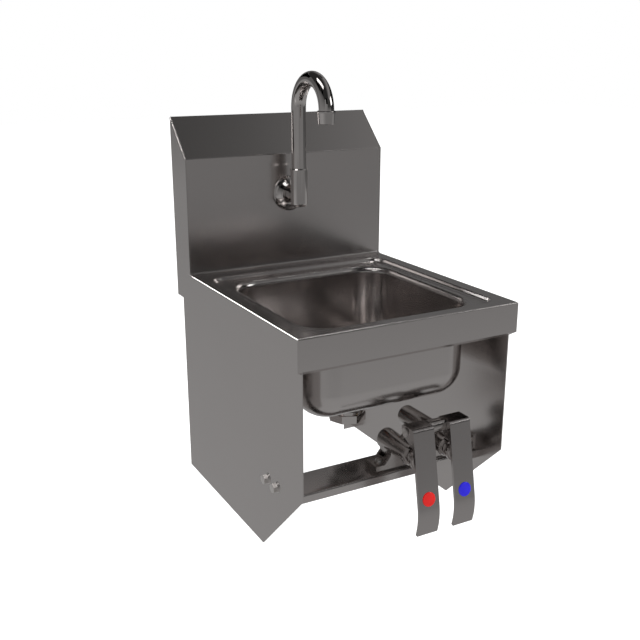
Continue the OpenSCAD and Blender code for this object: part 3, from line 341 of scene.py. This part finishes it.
def brushedSteel(name, colour, roughness, grain=sheetGrain):  # brushed along X, and along Y on side faces
    mat, tree, shader = startFinish(name, colour, 1.0, roughness)
    along, across = grain["along"], grain["across"]
    alongX = noiseAt(tree, 1.0, (along, across, across), grain["detail"])
    alongY = noiseAt(tree, 1.0, (along, along, across), grain["detail"])
    place = tree.nodes.new("ShaderNodeTexCoord")
    facing = tree.nodes.new("ShaderNodeSeparateXYZ")
    tree.links.new(place.outputs["Normal"], facing.inputs[0])
    sideways = mathOf(tree, "ABSOLUTE", facing.outputs["X"], 0.0)
    pick = tree.nodes.new("ShaderNodeMix")
    tree.links.new(mathOf(tree, "GREATER_THAN", sideways, grain["sideways"]), pick.inputs["Factor"])
    tree.links.new(alongX, pick.inputs["A"])
    tree.links.new(alongY, pick.inputs["B"])
    lines = pick.outputs["Result"]
    cloud = noiseAt(tree, grain["cloud"])
    fine = rangeTo(tree, lines, roughness - grain["lineRoughness"], roughness + grain["lineRoughness"])
    wide = rangeTo(tree, cloud, -grain["cloudRoughness"], grain["cloudRoughness"])
    tree.links.new(mathOf(tree, "ADD", fine, wide), shader.inputs["Roughness"])
    mean = mathOf(tree, "MULTIPLY", mathOf(tree, "ADD", lines, cloud), 0.5)
    tint(tree, shader, mean, shade(colour, 1 - grain["tintShare"]), shade(colour, 1 + grain["tintShare"]))
    bumpFrom(tree, shader, lines, grain["bump"], grain["height"])
    return mat


def polished(name, colour, roughness, height, marks=polishMarks):
    mat, tree, shader = startFinish(name, colour, 1.0, roughness)
    clearShare, hazyShare = marks["hazeShares"]
    haze = rangeTo(tree, noiseAt(tree, marks["haze"]), roughness * clearShare, roughness * hazyShare)
    tree.links.new(haze, shader.inputs["Roughness"])
    tint(tree, shader, noiseAt(tree, marks["stain"]), shade(colour, marks["stainShare"]), colour)
    bumpFrom(tree, shader, noiseAt(tree, marks["ripple"], detail=1.0), marks["bump"], height)
    return mat


def grainy(name, colour, roughness, size, bump, metallic=0.0, marks=grainMarks):
    mat, tree, shader = startFinish(name, colour, metallic, roughness)
    spots = noiseAt(tree, size, detail=marks["detail"])
    rough = rangeTo(tree, spots, roughness - marks["roughness"], roughness + marks["roughness"])
    tree.links.new(rough, shader.inputs["Roughness"])
    darkShare, lightShare = marks["tintShares"]
    stain = noiseAt(tree, size * marks["stainShare"])
    tint(tree, shader, stain, shade(colour, darkShare), shade(colour, lightShare))
    bumpFrom(tree, shader, spots, bump, marks["height"])
    return mat


finishes = {
    "brushed_sheet": brushedSteel("brushedSheet", (0.58, 0.549, 0.537), roughness=0.21),
    "lever_steel": brushedSteel("leverSteel", (0.48, 0.452, 0.443), roughness=0.21),
    "cast_metal": polished("castMetal", (0.5, 0.47, 0.455), roughness=0.17, height=0.001),
    "chrome_plate": polished("chromePlate", (0.62, 0.588, 0.574), roughness=0.05, height=0.0004),
    "bright_steel": brushedSteel("brightSteel", (0.78, 0.75, 0.73), roughness=0.34),
    "zinc_steel": grainy("zincSteel", (0.42, 0.43, 0.44), roughness=0.4, size=400.0, bump=0.1, metallic=1.0),
    "raw_brass": grainy("rawBrass", (0.62, 0.45, 0.2), roughness=0.32, size=300.0, bump=0.06, metallic=1.0),
    "black_rubber": grainy("blackRubber", (0.02, 0.02, 0.02), roughness=0.65, size=900.0, bump=0.2),
    "fibre_washer": grainy("fibreWasher", (0.35, 0.13, 0.07), roughness=0.75, size=700.0, bump=0.3),
    "dark_plastic": grainy("darkPlastic", (0.035, 0.035, 0.04), roughness=0.4, size=900.0, bump=0.1),
    "seal_white": grainy("sealWhite", (0.75, 0.75, 0.72), roughness=0.5, size=700.0, bump=0.08),
    "red_dot": grainy("redDot", (0.78, 0.016, 0.014), roughness=0.2, size=500.0, bump=0.02),
    "blue_dot": grainy("blueDot", (0.022, 0.016, 0.68), roughness=0.2, size=500.0, bump=0.02),
}
for nodeName, nodeObject in nodes.items():
    nodeObject.data.materials.clear()
    nodeObject.data.materials.append(finishes[slotOfNode[nodeName]])
print("finishes made:", len(finishes))

# Eased copies: folded sheets and machined pieces with the small radius that their real edges have; a piece
# with a width of 0 has its curves in its solid and is only shaded smooth
easedEdges = {
    "backsplash": 0.0005, "splash_end_left": 0.0005, "splash_end_right": 0.0005,
    "skirt_left": 0.0005, "skirt_right": 0.0005, "valve_rail": 0.0006,
    "lever_hot": 0.0007, "lever_cold": 0.0007, "hanger_strip": 0.0004, "wall_bracket": 0.0006,
    "basin": 0.0, "spout": 0.0, "outlet_sleeve": 0.0, "faucet_body": 0.0, "faucet_escutcheon": 0.0,
    "spout_nut": 0.0, "valve_body": 0.0, "slip_nut": 0.0005, "rail_bolts": 0.0003,
    "bonnet_hot": 0.0003, "bonnet_cold": 0.0003, "packing_nut_hot": 0.0004, "packing_nut_cold": 0.0004,
    "drain_body": 0.0, "foot_screws": 0.0,
}
groundFlat = ("splash_end_left", "splash_end_right")  # cut edges with one flat ground on them
easing = {"flat": math.radians(1.0), "sharp": math.radians(32), "smooth": math.radians(35), "merge": 2e-6}


def flatNormals(bm):  # broad faces keep their own direction, so only the eased strips turn
    normals = []
    limit = math.cos(easing["smooth"])
    for face in bm.faces:
        face.smooth = True
        for loop in face.loops:
            total = Vector()
            for other in loop.vert.link_loops:
                if other.face.normal.dot(face.normal) > limit:
                    total += other.face.normal * other.face.calc_area() * other.calc_angle()
            normals.append(total.normalized())
    return normals


def hardNormals(bm):  # a ground flat keeps its two crisp edges
    return [face.normal.copy() for face in bm.faces for corner in face.loops]


def easedCopy(nodeName, width, segments=3):
    bm = bmesh.new()
    bm.from_mesh(nodes[nodeName].data)
    bmesh.ops.remove_doubles(bm, verts=bm.verts, dist=easing["merge"])
    if width:
        bmesh.ops.dissolve_limit(bm, angle_limit=easing["flat"], verts=bm.verts, edges=bm.edges)
    sharp = [e for e in bm.edges if width and e.is_manifold and e.calc_face_angle(0) > easing["sharp"]]
    bmesh.ops.bevel(bm, geom=sharp, offset=width, offset_type="OFFSET", segments=segments, profile=0.5,
                    affect="EDGES", material=-1, clamp_overlap=True)
    bmesh.ops.triangulate(bm, faces=bm.faces)
    normals = flatNormals(bm) if segments > 1 else hardNormals(bm)
    obj = objectFrom(bm, nodeName + "Eased")
    obj.data.normals_split_custom_set(normals)
    obj.data.materials.append(finishes[slotOfNode[nodeName]])
    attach(obj, bodyOfNode[nodeName])
    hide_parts(nodeName)
    return obj


eased = {node: easedCopy(node, width, 1 if node in groundFlat else 3) for node, width in easedEdges.items()}
eased["rail_bolts"].visible_glossy = False  # the satin skirts don't mirror their bolt heads
print("edges eased:", len(eased))

# Cards kept to the pieces whose metal shows them
for cardName, cardValues in studioCards.items():
    if "lights" in cardValues:
        seenIn = bpy.data.collections.new(cardName + "Group")
        for litNode in cardValues["lights"]:
            seenIn.objects.link(eased[litNode])
        scene.objects[cardName].light_linking.receiver_collection = seenIn
print("cards linked")

# Springs: each, listed with the slide joint of its poppet, gets a smooth-shaded copy on its body with a mesh
# of its own
springs = {"spring_hot": "hot_stem_slide", "spring_cold": "cold_stem_slide"}
for springNode, slideJoint in springs.items():
    spring = easedCopy(springNode, 0.0)
    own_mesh(spring)
print("springs made:", len(springs))
